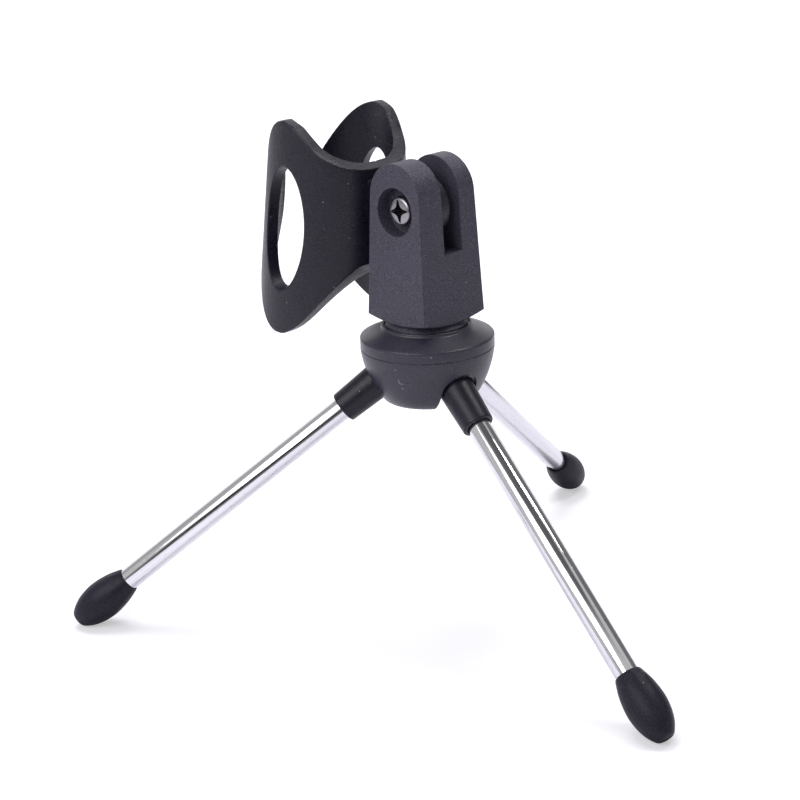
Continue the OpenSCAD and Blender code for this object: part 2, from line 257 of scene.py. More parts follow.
def moulded(name, colour, rough, grain, depth, painted_grain_light=1.0, edge=0.0, specks=0.5, specular=0.5,
            scratches=0.0, marks_and_glints=()):
    """Moulded plastic: spark grain, cloudy tone, pale dust, a few scratches.

    Grain is noise at the given size, in bump and in tone: its tips are painted paler as
    glints and its pits painted darker as shade, both by the given factor; edge is the radius
    that the normals are rounded to. A mark is a ball, less a second one where it has one, so
    that a crescent or a dot is left, and its tone; a pale crescent is a painted highlight
    where light would catch the rim of a dent.
    """
    mat, tree, bsdf = new_material(name)
    link = tree.links.new
    place = node(tree, "ShaderNodeTexCoord").outputs["Object"]
    fine = noise(tree, place, Scale=1.0 / grain, Detail=2.0, Roughness=0.7)
    cloud = noise(tree, place, Scale=120.0, Detail=3.0, Roughness=0.55)
    dust = texture(tree, "ShaderNodeTexVoronoi", place, Scale=620.0, Randomness=1.0)
    tone = mix(tree, ramp(tree, cloud.outputs[0], 0.0, 1.0), shade(colour, 0.9),
               shade(colour, 1.1))
    # Painted shade darkens the grain's pits and painted glints lighten its tips.
    tone = mix(tree, ramp(tree, fine.outputs[0], 1.0, 0.0, 0.26, 0.47), tone,
               shade(colour, 1 - 0.55 * painted_grain_light))
    tone = mix(tree, ramp(tree, fine.outputs[0], 0.0, 1.0, 0.52, 0.76), tone,
               shade(colour, 1 + 1.9 * painted_grain_light))
    pick = node(tree, "ShaderNodeSeparateColor")
    link(dust.outputs["Color"], pick.inputs[0])
    near = ramp(tree, dust.outputs["Distance"], specks, 0.0, 0.06, 0.17)
    rare = ramp(tree, pick.outputs[0], 0.0, 1.0, 0.93, 0.95)
    tone = mix(tree, calc(tree, "MULTIPLY", near, rare), tone, (0.42, 0.41, 0.46))
    if scratches:
        thin = hairlines(tree, place, 260.0, 0.012, 0.56)
        thin = calc(tree, "MULTIPLY", thin, scratches)
        tone = mix(tree, thin, tone, (0.3, 0.29, 0.33))
    # The pale crescents are painted highlights on the rims of dents.
    for centre, radius, hollow, paint_tone in marks_and_glints:
        spot = within(tree, place, centre, radius, 0.12)
        if hollow:
            ball = within(tree, place, hollow, radius, 0.12)
            spot = calc(tree, "SUBTRACT", spot, ball)
            spot = calc(tree, "MAXIMUM", spot, 0.0)
        tone = mix(tree, spot, tone, paint_tone)
    link(tone, bsdf.inputs["Base Color"])
    link(ramp(tree, cloud.outputs[0], rough - 0.05, rough + 0.06), bsdf.inputs["Roughness"])
    bsdf.inputs["Specular IOR Level"].default_value = specular
    bump = bumped(tree, bsdf, fine.outputs[0], 0.7, depth)
    if edge:
        soft = node(tree, "ShaderNodeBevel", Radius=edge)
        soft.samples = 6
        link(soft.outputs[0], bump.inputs["Normal"])
    return mat


def plated(name, colour, rough, streak, depth):
    """Bright plating: mirror metal with fine drawn streaks along the piece and small nicks."""
    mat, tree, bsdf = new_material(name)
    link = tree.links.new
    place = node(tree, "ShaderNodeTexCoord").outputs["UV"]
    stretch = texture(tree, "ShaderNodeMapping", place, Scale=(streak, 1.2, 1.0))
    drawn = noise(tree, stretch.outputs[0], Scale=1.0, Detail=4.0, Roughness=0.65)
    solid = node(tree, "ShaderNodeTexCoord").outputs["Object"]
    haze = noise(tree, solid, Scale=260.0, Detail=4.0, Roughness=0.6)
    nicks = noise(tree, solid, Scale=1900.0, Detail=2.0)
    tone = mix(tree, ramp(tree, drawn.outputs[0], 0.0, 1.0, 0.4, 0.75), colour,
               shade(colour, 0.82))
    nick = ramp(tree, nicks.outputs[0], 0.0, 1.0, 0.66, 0.74)
    tone = mix(tree, nick, tone, shade(colour, 0.55))
    link(tone, bsdf.inputs["Base Color"])
    bsdf.inputs["Metallic"].default_value = 1.0
    link(ramp(tree, haze.outputs[0], rough, rough + 0.1, 0.4, 0.7), bsdf.inputs["Roughness"])
    bumped(tree, bsdf, drawn.outputs[0], 0.25, depth)
    return mat


def turned_metal(name, colour, rough):
    """Plain machined metal with cloudy tone and roughness and a fine object-space bump."""
    mat, tree, bsdf = new_material(name)
    link = tree.links.new
    place = node(tree, "ShaderNodeTexCoord").outputs["Object"]
    cloud = noise(tree, place, Scale=700.0, Detail=4.0, Roughness=0.6)
    tone = mix(tree, ramp(tree, cloud.outputs[0], 0.0, 1.0), shade(colour, 0.8),
               shade(colour, 1.1))
    link(tone, bsdf.inputs["Base Color"])
    bsdf.inputs["Metallic"].default_value = 1.0
    link(ramp(tree, cloud.outputs[0], rough - 0.06, rough + 0.1), bsdf.inputs["Roughness"])
    bumped(tree, bsdf, cloud.outputs[0], 0.2, 0.00005)
    return mat


# Marks on the hub in millimetres: centre, radius, centre of the ball taken away, tone.
# The pale crescents are painted highlights, where light would catch the rim of a dent.
HUB_MARKS_AND_GLINTS = (((-15.2, -5.8, 68.6), 0.95, (-15.0, -6.1, 68.9), (0.16, 0.15, 0.18)),
             ((-17.1, 2.2, 75.4), 0.34, None, (0.004, 0.004, 0.005)),
             ((-8.6, -14.9, 73.3), 1.0, (-8.4, -15.0, 73.1), (0.075, 0.07, 0.09)))


# Moulded finishes: the colour's name, then what makes the surface, lengths in metres
MOULDED = {
    "charcoal_grain": ("body", dict(
        rough=0.48, grain=0.0003, depth=0.00014, painted_grain_light=1.2, specks=0.6, specular=0.44)),
    "charcoal_satin": ("hub", dict(
        rough=0.3, grain=0.0003, depth=0.00004, painted_grain_light=0.7, edge=0.0004, specks=0.7,
        scratches=0.14, marks_and_glints=HUB_MARKS_AND_GLINTS)),
    "black_grain": ("clip", dict(
        rough=0.28, grain=0.0003, depth=0.00013, painted_grain_light=1.7, specks=0.5, specular=0.46)),
    "satin_root": ("root", dict(
        rough=0.36, grain=0.0004, depth=0.00007, painted_grain_light=0.9, specks=0.4, specular=0.32)),
    "grained_rubber": ("rubber", dict(
        rough=0.42, grain=0.0004, depth=0.0001, painted_grain_light=0.8, specks=0.3, specular=0.24)),
}
# Machined finishes, and recess_shadow, the screw recess's painted shade:
# colour, or the colour's name, and roughness
TURNED = {
    "recess_shadow": ((0.03, 0.028, 0.03), 0.5),
    "nickel_plate": ("nickel", 0.26),
    "zinc_steel": ((0.5, 0.51, 0.54), 0.38),
    "turned_brass": ((0.66, 0.5, 0.22), 0.32),
}


def finish_of(kind):
    """The material of one finish, made once and then shared."""
    if kind in bpy.data.materials:
        return bpy.data.materials[kind]
    colours = bpy.context.scene.stand_colours
    if kind in MOULDED:
        colour, surface = MOULDED[kind]
        return moulded(kind, getattr(colours, colour), **surface)
    if kind in TURNED:
        colour, rough = TURNED[kind]
        colour = getattr(colours, colour) if isinstance(colour, str) else colour
        return turned_metal(kind, colour, rough)
    if kind == "mirror_plate":
        return plated(kind, colours.chrome, rough=0.045, streak=26.0, depth=0.00002)
    raise ValueError(f"no finish named {kind}")


# ---- surfaces

def grid(points, close_u=False, close_v=False):
    """Quads over an array of points whose two indices are the surface's parameters."""
    n, m = points.shape[:2]
    u = np.arange(n if close_u else n - 1)
    v = np.arange(m if close_v else m - 1)
    a, b = np.meshgrid(u, v, indexing="ij")
    a2, b2 = (a + 1) % n, (b + 1) % m
    quads = np.stack([a * m + b, a2 * m + b, a2 * m + b2, a * m + b2], -1).reshape(-1, 4)
    return points.reshape(-1, 3), quads.tolist()


def face(points):
    """One flat face with the points as its corners."""
    points = np.asarray(points, float)
    return points, [list(range(len(points)))]


def curve(points, count):
    """A smooth line through points: cubic between them, even in arc length."""
    p = np.asarray(points, float)
    p = np.vstack([2 * p[0] - p[1], p, 2 * p[-1] - p[-2]])
    t = np.linspace(0, 1, 24, endpoint=False)[None, :, None]
    a, b, c, d = (p[i: len(p) - 3 + i, None, :] for i in range(4))
    q = 0.5 * (2 * b + (c - a) * t + (2 * a - 5 * b + 4 * c - d) * t**2
               + (3 * b - a - 3 * c + d) * t**3)
    return even(np.vstack([q.reshape(-1, p.shape[1]), p[-2:-1]]), count)


def even(line, count):
    """The same line with points evenly spaced along it."""
    step = np.linalg.norm(np.diff(line, axis=0), axis=1)
    s = np.concatenate([[0], np.cumsum(step)])
    at = np.linspace(0, s[-1], count)
    return np.stack([np.interp(at, s, line[:, k]) for k in range(line.shape[1])], -1)


def corner(start, tip, end, count=5):
    """A rounded corner for each row: the quadratic curve from start to end, bent at tip."""
    s, c, e = (np.atleast_2d(x)[:, None] for x in (start, tip, end))
    t = np.linspace(0, 1, count)[None, :, None]
    return (1 - t) ** 2 * s + 2 * t * (1 - t) * c + t**2 * e


def revolved(profile, steps=96, turn=0.0):
    """Radius and height pairs carried round the Z axis."""
    a = np.linspace(0, 2 * np.pi, steps, endpoint=False)[:, None] + turn
    r, z = profile[None, :, 0], profile[None, :, 1]
    return grid(np.stack([r * np.cos(a), r * np.sin(a), z + 0 * a], -1), close_u=True)


def rounded(points, radii, count=5):
    """A line with each inner corner replaced by a small curve, of one radius or one each."""
    p = np.asarray(points, float)
    out = [p[:1]]
    for before, here, after, radius in zip(p[:-2], p[1:-1], p[2:], np.resize(radii, len(p) - 2)):
        one, two = before - here, after - here
        cut = min(radius, 0.45 * np.linalg.norm(one), 0.45 * np.linalg.norm(two))
        start = here + one / np.linalg.norm(one) * cut
        end = here + two / np.linalg.norm(two) * cut
        out.append(corner(start, here, end, count)[0])
    return np.vstack(out + [p[-1:]])


def placed(part, matrix):
    """Points turned and moved by a 4 x 4 matrix."""
    points, faces = part
    m = np.array(matrix)
    return points @ m[:3, :3].T + m[:3, 3], faces


def mirrored(part):
    """The same surface with X turned to minus X."""
    points, faces = part
    return points * [-1, 1, 1], faces


def make_piece(name, parts, finish, body, nodes, sharp=40.0, merge=2e-6, bevel=0.0):
    """One object from several surfaces, its doubles merged and its faces turned outwards."""
    points = np.vstack([p for p, _ in parts])
    starts = np.cumsum([0] + [len(p) for p, _ in parts])
    faces = [[i + at for i in f] for at, (_, group) in zip(starts, parts) for f in group]
    mesh = bpy.data.meshes.new(name)
    mesh.from_pydata(points, [], faces)
    work = bmesh.new()
    work.from_mesh(mesh)
    bmesh.ops.remove_doubles(work, verts=work.verts, dist=merge)
    bmesh.ops.recalc_face_normals(work, faces=work.faces)
    work.to_mesh(mesh)
    work.free()
    mesh.polygons.foreach_set("use_smooth", np.ones(len(mesh.polygons), bool))
    mesh.set_sharp_from_angle(angle=math.radians(sharp))
    mesh.update()
    obj = bpy.data.objects.new(name, mesh)
    bpy.context.scene.collection.objects.link(obj)
    mesh.materials.append(finish_of(finish))
    if bevel:
        edge = obj.modifiers.new("Edges", "BEVEL")
        edge.width = bevel
        edge.segments = 4
        edge.limit_method = "ANGLE"
        edge.angle_limit = math.radians(30)
        edge.harden_normals = True
    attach(obj, body)
    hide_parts(*nodes)
    return obj


def dress_node(name, finish):
    """Gives a carried-over CAD node its finish."""
    obj = frame["nodes"][name]
    obj.data.materials.clear()
    obj.data.materials.append(finish_of(finish))


# ---- clip

class ClipShape:
    """The open slotted cone of the clip, drawn in millimetres about the pivot."""

    middle = -11.0
    lip = (14.6, 28.2)
    window = (32.4, 7.1, 16.5)
    window_draft = (0.45, 0.75)
    lip_full = 0.88
    lip_gap = 4.9
    lip_blend = 14
    curl_depth, curl_rise, curl_spread = 0.6, 8, 10
    curl_from, curl_over = 40, 5
    top = [(9.0, 7.2), (12.0, 6.8), (14.6, 6.7), (17.0, 7.05), (19.5, 8.1), (22.3, 9.7),
           (24.2, 11.1), (25.9, 12.8), (27.8, 14.6), (29.7, 16.05)]
    foot = [(30.2, -38.9), (27.5, -37.3), (25.6, -35.6), (23.6, -33.2), (21.6, -30.3),
            (19.6, -27.2), (18.0, -24.6), (16.6, -22.2), (15.4, -20.1), (14.3, -18.6),
            (12.0, -17.4), (9.0, -16.8)]

    def __init__(self, sizes):
        self.reach = sizes.clip_reach / MM
        self.radius = sizes.clip_radius / MM
        self.wall = sizes.clip_wall / MM
        self.slope = math.tan(sizes.clip_cone)
        self.round = sizes.clip_round / MM
        self.window_round = sizes.window_round / MM

    def bore(self, z, inner):
        """Radius at height z, less the wall on the inside, shrinking evenly upwards."""
        return self.radius - (self.wall if inner else 0) - self.slope * (z - self.middle)

    def point(self, turn, z, inner):
        """Point on the wall at an angle from the back, left of the middle plane."""
        r = self.bore(z, inner)
        return np.stack([-r * np.sin(turn), self.reach - r * np.cos(turn), z], -1)

    def turn_at(self, y, z, inner):
        """Angle from the back at which the wall crosses the depth y.

        Inside, a soft least value of that and of the angle that leaves half the mouth's gap.
        """
        r = self.bore(z, inner)
        turn = np.arccos(np.clip((self.reach - y) / r, -1, 1))
        if not inner:
            return turn
        most = np.pi - np.arcsin(self.lip_gap / r)
        return most - np.logaddexp(0, (most - turn) * self.lip_blend) / self.lip_blend

    def lip_curl(self, y, z):
        """How far the inner lip edge bends on: a bell in height, growing towards the front."""
        bell = np.exp(-((z - self.middle - self.curl_rise) / self.curl_spread) ** 2)
        return self.curl_depth * bell * np.clip((y - self.curl_from) / self.curl_over, 0, 1)

    def outline(self, count):
        """Side outline: back rim, lobe to the front, and back along the foot.

        The lobe is a half ellipse, fuller above, where its cosine is taken to a power
        below one. The line is cut where it meets the wall's back.
        """
        a = np.linspace(np.pi * 0.48, -np.pi * 0.48, 40)
        full = np.cos(a) ** np.where(a > 0, self.lip_full, 1)
        lobe = np.stack([self.reach + self.lip[0] * full,
                         self.middle + self.lip[1] * np.sin(a)], -1)
        line = curve(np.vstack([self.top, lobe, self.foot]), 900)
        inside = (self.reach - line[:, 0]) / self.bore(line[:, 1], False)
        k = np.flatnonzero(inside < 1)
        first, last = k[0], k[-1]

        def crossing(i, j):
            """The point between two neighbours at which the line meets the wall's back."""
            f = (1 - inside[i]) / (inside[j] - inside[i])
            return line[i] + f * (line[j] - line[i])

        line = np.vstack([crossing(first - 1, first), line[first:last + 1],
                          crossing(last, last + 1)])
        return even(line, count)


def clip_wing(shape, rim_points=190, seam_points=26, across=16):
    """Left half of the clip's wall as grids: outside, inside, window edge and rim.

    Lines run from the window's edge to the outline; both edges are rounded corners
    between the wall's surfaces and the cut face that joins them.
    """
    line = shape.outline(rim_points)
    y, z = line[:, 0], line[:, 1]
    outer = np.stack([shape.turn_at(y, z, False), z], -1)
    inner = np.stack([shape.turn_at(y + shape.lip_curl(y, z), z, True), z], -1)
    met = np.flatnonzero(y > shape.reach - shape.bore(z, True))[[0, -1]]
    inner[:met[0]] = 0.0, z[met[0]]
    inner[met[1] + 1:] = 0.0, z[met[1]]
    outer[[0, -1], 0] = 0.0
    metric = np.array([shape.radius, 1.0])
    along = np.gradient(outer * metric, axis=0)
    along[[0, -1]] = [[1, 0], [-1, 0]]
    normal = np.stack([along[:, 1], -along[:, 0]], -1)
    normal /= np.linalg.norm(normal, axis=1, keepdims=True)
    edge = shape.round

    def seam(last, first):
        """Points down the middle plane that close a border."""
        f = np.linspace(0, 1, seam_points + 2)[1:-1, None]
        return last + f * (first - last)

    def loop(border):
        """The border, moved in by the edge's rounding, and its seam."""
        inset = border + normal * edge / metric
        return np.vstack([inset, seam(inset[-1], inset[0])])

    wy, wa, wb = shape.window
    half_turn = (shape.turn_at(np.array(wy + wa), shape.middle, False)
                 - shape.turn_at(np.array(wy - wa), shape.middle, False)) / 2
    mid_turn = shape.turn_at(np.array(wy - wa), shape.middle, False) + half_turn
    outer_loop, inner_loop = loop(outer), loop(inner)
    rays = np.arctan2((outer_loop[:, 1] - shape.middle) / wb,
                      (outer_loop[:, 0] - mid_turn) / half_turn)

    def window_edge(is_inner, grow):
        """The window's ellipse on one wall, grown by a width, smaller inside by its draft."""
        draft = shape.window_draft if is_inner else (0, 0)
        yy = wy + (wa + grow - draft[0]) * np.cos(rays)
        zz = shape.middle + (wb + grow - draft[1]) * np.sin(rays)
        return np.stack([shape.turn_at(yy, zz, is_inner), zz], -1)

    def wall(border, hole, is_inner):
        """Straight lines in angle and height from the hole to the border, laid on the wall."""
        f = np.linspace(0, 1, across)[None, :, None]
        flat = hole[:, None] * (1 - f) + border[:, None] * f
        return shape.point(flat[..., 0], flat[..., 1], is_inner)

    def edge_strip(out_flat, out_edge, in_edge, in_flat, edge):
        """Rounded corner, cut face, rounded corner between two walls."""
        tip_o, tip_i = (shape.point(out_edge[:, 0], out_edge[:, 1], False),
                        shape.point(in_edge[:, 0], in_edge[:, 1], True))
        gap = tip_i - tip_o
        size = np.linalg.norm(gap, axis=1, keepdims=True)
        cut = np.minimum(edge / size, 0.42)
        a = corner(shape.point(out_flat[:, 0], out_flat[:, 1], False), tip_o, tip_o + gap * cut, 6)
        b = corner(tip_i - gap * cut, tip_i, shape.point(in_flat[:, 0], in_flat[:, 1], True), 6)
        return np.concatenate([a, b], axis=1)

    small = shape.window_round
    hole_o, hole_i = window_edge(False, small), window_edge(True, small)
    rim = edge_strip(outer_loop[:rim_points], outer, inner, inner_loop[:rim_points], edge)
    hole = edge_strip(hole_o, window_edge(False, 0), window_edge(True, 0), hole_i, small)
    return [grid(wall(outer_loop, hole_o, False), close_u=True),
            grid(wall(inner_loop, hole_i, True), close_u=True),
            grid(rim), grid(hole, close_u=True)]


# Knuckle and web's faces in millimetres along the screw
KNUCKLE_LEFT, KNUCKLE_RIGHT = -1.875, 2.025


def clip_web(left=KNUCKLE_LEFT, right=KNUCKLE_RIGHT, power=0.22):
    """The waist's web: a rounded rectangle carried from the knuckle to the wall, flaring.

    Each row of the path holds depth, width, top and low. The section is a circle whose
    sine and cosine are taken to a small power.
    """
    path = curve([(4.0, 3.9, 6.4, -6.4), (8.0, 3.9, 7.3, -8.2), (10.6, 3.9, 7.0, -11.8),
                  (12.4, 4.1, 6.0, -15.4), (13.2, 5.4, 5.2, -17.0), (13.9, 8.0, 4.6, -17.6),
                  (14.8, 12.0, 4.0, -18.0)], 30)
    mid = (left + right) / 2
    y, width, top, low = path.T
    a = np.linspace(0, 2 * np.pi, 64, endpoint=False)
    cx = np.sign(np.cos(a)) * np.abs(np.cos(a)) ** power
    cz = np.sign(np.sin(a)) * np.abs(np.sin(a)) ** power
    x = mid + width[:, None] / 2 * cx[None]
    z = (top + low)[:, None] / 2 + (top - low)[:, None] / 2 * cz[None]
    body = np.stack([x, np.broadcast_to(y[:, None], x.shape), z], -1)
    first = np.repeat(body[:1].mean(axis=1, keepdims=True), len(a), axis=1)
    return [grid(np.vstack([first, body]), close_v=True)]


def knuckle(radius=8.0, left=KNUCKLE_LEFT, right=KNUCKLE_RIGHT, edge=0.6):
    """Disc between the ears, its two edges rounded, with the boss that meets the far ear."""
    bore, boss, boss_end = 2.1, 4.2, 4.07
    profile = np.vstack([rounded([(bore, left), (radius, left), (radius, right), (boss, right),
                                  (boss, boss_end), (bore, boss_end)], edge), [(bore, left)]])
    points, faces = revolved(profile, 96)
    return points[:, [2, 0, 1]], faces


def build_clip(sizes):
    """Clip: the wing and its mirror image, the web and the knuckle, leaned about the pivot."""
    shape = ClipShape(sizes)
    wing = clip_wing(shape)
    parts = wing + [mirrored(part) for part in wing]
    parts += clip_web() + [knuckle()]
    place = (Matrix.Translation((0, 0, PIVOT_Z)) @ Matrix.Rotation(sizes.clip_tilt, 4, "X")
             @ Matrix.Scale(MM, 4))
    return make_piece("clip_moulding", [placed(part, place) for part in parts], "black_grain",
                      "clip", ["mic_clip"], sharp=50)


# ---- fork

class ForkShape:
    """The fork's block in millimetres about the pivot: X along the screw, Z upwards.

    Both widths shrink evenly upwards, the ears end in a half circle, and the underside is
    a shallow cone that the four sides cut, so that its edges sag between the corners.
    """

    low = -27.8
    arc_z = 3.3
    floor = -11.0
    near = -1.975
    far = 4.175
    recess = (6.1, 4.2)
    pocket = (3.55, 3.4)
    bore = 2.05
    neck = [(9.4, 0.0), (10.5, -30.4), (10.5, -31.25)]

    def half_x(self, z):
        """Half width along the screw: less by 0.03 for each millimetre up."""
        return 10.65 - 0.03 * (z - self.low)

    def half_y(self, z):
        """Half width across the ears: less by 0.045 for each millimetre up."""
        return 10.25 - 0.045 * (z - self.low)

    def under(self, r):
        """Height of the underside's cone at a distance from the middle."""
        return self.low - 1.25 + 0.3 * (r - 10.25)


def fork_skin(shape):
    """The fork's faces as grids and flat faces between shared outlines.

    Each side outline is joined to its round or six-sided hole by straight rays from the
    pivot; the ears' inner faces use the same rays, stopped at the slot's floor.
    """
    corner_z = shape.under(math.hypot(shape.half_x(shape.low), shape.half_y(shape.low)))
    reach_x, reach_y = shape.half_x(corner_z), shape.half_y(corner_z)

    def side(sign, z_from, z_to, count):
        """One slanted side of the outline between two heights."""
        z = np.linspace(z_from, z_to, count)
        return np.stack([sign * shape.half_y(z), z], -1)

    def under_row(fixed, along):
        """Heights of the underside along one of its four edges."""
        return shape.under(np.hypot(fixed, along))

    half = np.linspace(0, np.pi, 41)
    arc_r = shape.half_y(shape.arc_z)
    arc = np.stack([-arc_r * np.cos(half), shape.arc_z + arc_r * np.sin(half)], -1)
    front = side(-1, corner_z, shape.floor, 7)
    back = side(1, shape.floor, corner_z, 7)
    ear = np.vstack([side(-1, shape.floor, shape.arc_z, 6)[:-1], arc,
                     side(1, shape.arc_z, shape.floor, 6)[1:]])
    across = np.linspace(reach_y, -reach_y, 17)[1:-1]
    sag = np.stack([across, under_row(reach_x, across)], -1)
    outline = np.vstack([front[:-1], ear, back[1:], sag])
    turn = np.arctan2(outline[:, 1], outline[:, 0])
    unit = np.stack([np.cos(turn), np.sin(turn)], -1)
    outer = {-1: lambda z: -shape.half_x(z), 1: shape.half_x}
    inner = {-1: shape.near, 1: shape.far}

    def at(line, x):
        """A line of depths and heights put at a width, fixed or worked out from the height."""
        wide = x(line[:, 1]) if callable(x) else np.full(len(line), x)
        return np.column_stack([wide, line])

    def rays(hole, edge, x, steps=4):
        """Rings from a hole's loop to an edge's loop on one face."""
        f = np.linspace(0, 1, steps)[:, None, None]
        return grid(np.stack([at(ring, x) for ring in hole * (1 - f) + edge * f]), close_v=True)

    turned = (turn + np.pi / 6) % (np.pi / 3) - np.pi / 6
    holes = {-1: (unit * shape.recess[0], shape.recess[1]),
             1: (unit * (shape.pocket[0] / np.cos(turned))[:, None], shape.pocket[1])}
    stop = np.where(outline[:, 1] < shape.floor, shape.floor / outline[:, 1], 1.0)[:, None]
    bore = unit * shape.bore
    parts = []
    for sign, (hole, depth) in holes.items():
        deep = sign * (shape.half_x(0) - depth)
        parts.append(rays(hole, outline, outer[sign]))
        parts.append(grid(np.stack([at(hole, outer[sign]), at(hole, deep), at(bore, deep),
                                    at(bore, inner[sign])]), close_v=True))
        parts.append(rays(bore, outline * stop, inner[sign], 3))
        parts.append(grid(np.stack([at(ear, outer[sign]), at(ear, inner[sign])])))
    flat = (outline * stop)[outline[:, 1] <= shape.floor + 1e-9]
    flat = flat[np.argsort(flat[:, 0])]
    parts.append(face(np.vstack([at(flat, shape.near), at(flat[::-1], shape.far)])))

    wide = np.linspace(-reach_x, reach_x, 17)[1:-1]
    rows = {}
    for sign, line in ((-1, front), (1, back[::-1])):
        z = under_row(wide, reach_y)
        rows[sign] = np.column_stack([wide, sign * shape.half_y(z), z])
        lip = [(x, line[-1, 0], shape.floor) for x in (shape.near, shape.far)]
        parts.append(face(np.vstack([at(line, outer[-1]), lip, at(line, outer[1])[::-1],
                                     rows[sign][::-1]])))
    low_row = np.vstack([back[-1:], sag, front[:1]])
    border = np.vstack([at(low_row, outer[-1]), rows[-1], at(low_row[::-1], outer[1]),
                        rows[1][::-1]])
    spin = np.arctan2(border[:, 1], border[:, 0])
    rings = [border]
    for r, z in shape.neck:
        height = z if z else shape.under(r)
        rings.append(np.column_stack([r * np.cos(spin), r * np.sin(spin),
                                      np.full(len(spin), height)]))
    rings.append(np.tile([0.0, 0.0, shape.neck[-1][1]], (len(spin), 1)))
    parts.append(grid(np.stack(rings), close_v=True))
    return parts


def build_fork(sizes):
    """Fork: its skin moved up to the pivot, its edges rounded."""
    parts = [placed(part, AT_PIVOT) for part in fork_skin(ForkShape())]
    return make_piece("fork_moulding", parts, "charcoal_grain", "fork",
                      ["yoke"], sharp=35, bevel=sizes.fork_round)


# Screw recess in millimetres: its points' reach, its hollow sides, its turn in radians
STAR = {"reach": 2.95, "hollow": 0.95, "turn": 0.12}


def star_edge(turn):
    """Radius of the star recess: along |y z| = hollow, cut off softly at its reach."""
    between = np.abs(np.cos(turn - STAR["turn"]) * np.sin(turn - STAR["turn"]))
    return (STAR["reach"] ** -8 + (STAR["hollow"] / np.maximum(between, 1e-6)) ** -4) ** -0.125


def build_screw():
    """Pan-head screw: rings about its axis from the pit of the star recess to the shank's end.

    Inside the star's edge the rings shrink and sink to a blunt pit; outside it they widen
    to circles that fall with the square of the radius and round over to the head's side.
    """
    turn = np.linspace(0, 2 * np.pi, 160, endpoint=False)
    star = star_edge(turn)
    top, seat, end = 8.35, 5.8, -9.8
    dome = 0.14 / 9
    inner_r, head_r, shank_r, tip_r = 3.05, 3.7, 1.95, 1.6
    rings = [(0 * star, top - 2.0), (star * 0.3, top - 1.9), (star * 0.6, top - 1.35),
             (star * 0.95, top - 0.22)]
    rings += [(star * (1 - f) + inner_r * f, None) for f in (0.0, 0.12, 0.5, 1.0)]
    rings += [(3.35, top - 0.32), (3.58, top - 0.62), (3.68, top - 1.0), (head_r, seat),
              (shank_r, seat), (shank_r, end + 0.4), (tip_r, end), (0.0, end)]
    out = []
    for r, height in rings:
        r = np.broadcast_to(r, turn.shape)
        w = top - dome * r**2 if height is None else np.full(len(turn), height)
        out.append(np.column_stack([-w, r * np.sin(turn), r * np.cos(turn)]))
    obj = make_piece("pivot_screw_pan_head",
                     [placed(grid(np.stack(out), close_v=True), AT_PIVOT)],
                     "nickel_plate", "fork", ["pivot_screw"], sharp=35)
    mesh = obj.data
    # The faces inside the star recess get recess_shadow: painted shade, near black.
    mesh.materials.append(finish_of("recess_shadow"))
    centres = np.empty(len(mesh.polygons) * 3)
    mesh.polygons.foreach_get("center", centres)
    centres = centres.reshape(-1, 3)
    y, z = centres[:, 1] / MM, (centres[:, 2] - PIVOT_Z) / MM
    sunk = (np.hypot(y, z) < star_edge(np.arctan2(y, z)) * 0.98) & (centres[:, 0] < -5 * MM)
    mesh.polygons.foreach_set("material_index", sunk.astype(np.int32))
    return obj


# ---- hub

def build_hub_cap(sizes):
    """Cap of the hub: one rounded outline carried round the axis, open cavity below."""
    r, top = sizes.hub_radius / MM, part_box("hub_cap")[1][2] / MM
    slope, rim, low, floor = top - 0.75, top - 3.15, top - 5.95, top - 0.8
    outline = rounded([(r - 2.0, low), (r - 0.03, low), (r, rim), (11.7, slope),
                       (11.6, top), (11.05, top), (10.95, floor), (4.0, floor)],
                      [0.16, 0.38, 0.5, 0.28, 0.26, 0.1], 7)
    inside = np.array([(0.0, floor), (0.0, low + 1.2), (r - 2.0, low + 1.2)])
    profile = np.vstack([outline, inside, outline[:1]])
    part = placed(revolved(profile, 144), Matrix.Scale(MM, 4))
    return make_piece("hub_cap_moulding", [part], "charcoal_satin", "base",
                      ["hub_cap"], sharp=50)


# ---- legs

def leg_frame(number, sizes):
    """Places a leg: its own Z runs from the foot's tip up to the cross pin."""
    turn = LEG_TURN + number * 2 * math.pi / LEGS
    out = Vector((math.cos(turn), math.sin(turn), 0))
    pin = Vector((PIN_R * out.x, PIN_R * out.y, PIN_Z))
    down = out * math.sin(sizes.leg_spread) + Vector((0, 0, -math.cos(sizes.leg_spread)))
    side = Vector((-out.y, out.x, 0))
    axes = Matrix((side, (-down).cross(side), -down)).transposed().to_4x4()
    return Matrix.Translation(pin + down * sizes.leg_length) @ axes @ Matrix.Scale(MM, 4)


def build_root(number, sizes):
    """Moulded leg root: a ball end and a tapering round rod with a rounded mouth."""
    ball_r, mouth_r, bore_r, seat, reach = 4.55, 4.12, 3.06, 17.0, 20.0
    total = sizes.leg_length / MM
    ball = np.linspace(0, np.pi / 2, 14)
    head = np.stack([ball_r * np.sin(ball), total + ball_r * np.cos(ball)], -1)
    rod = [(ball_r, total - 8.0), (4.15, total - 18.9)]
    mouth = rounded([rod[1], (mouth_r, total - reach), (bore_r, total - reach),
                     (bore_r, total - seat)], 0.7, 7)
    profile = np.vstack([head, np.linspace(head[-1], rod[0], 6)[1:], mouth,
                         [(0.0, total - seat)]])
    part = placed(revolved(profile, 72), leg_frame(number, sizes))
    return make_piece(f"leg_root_{number + 1}", [part], "satin_root", f"leg_{number + 1}",
                      [f"leg_socket_{number + 1}"], sharp=50)


TUBE_WALL = 0.8


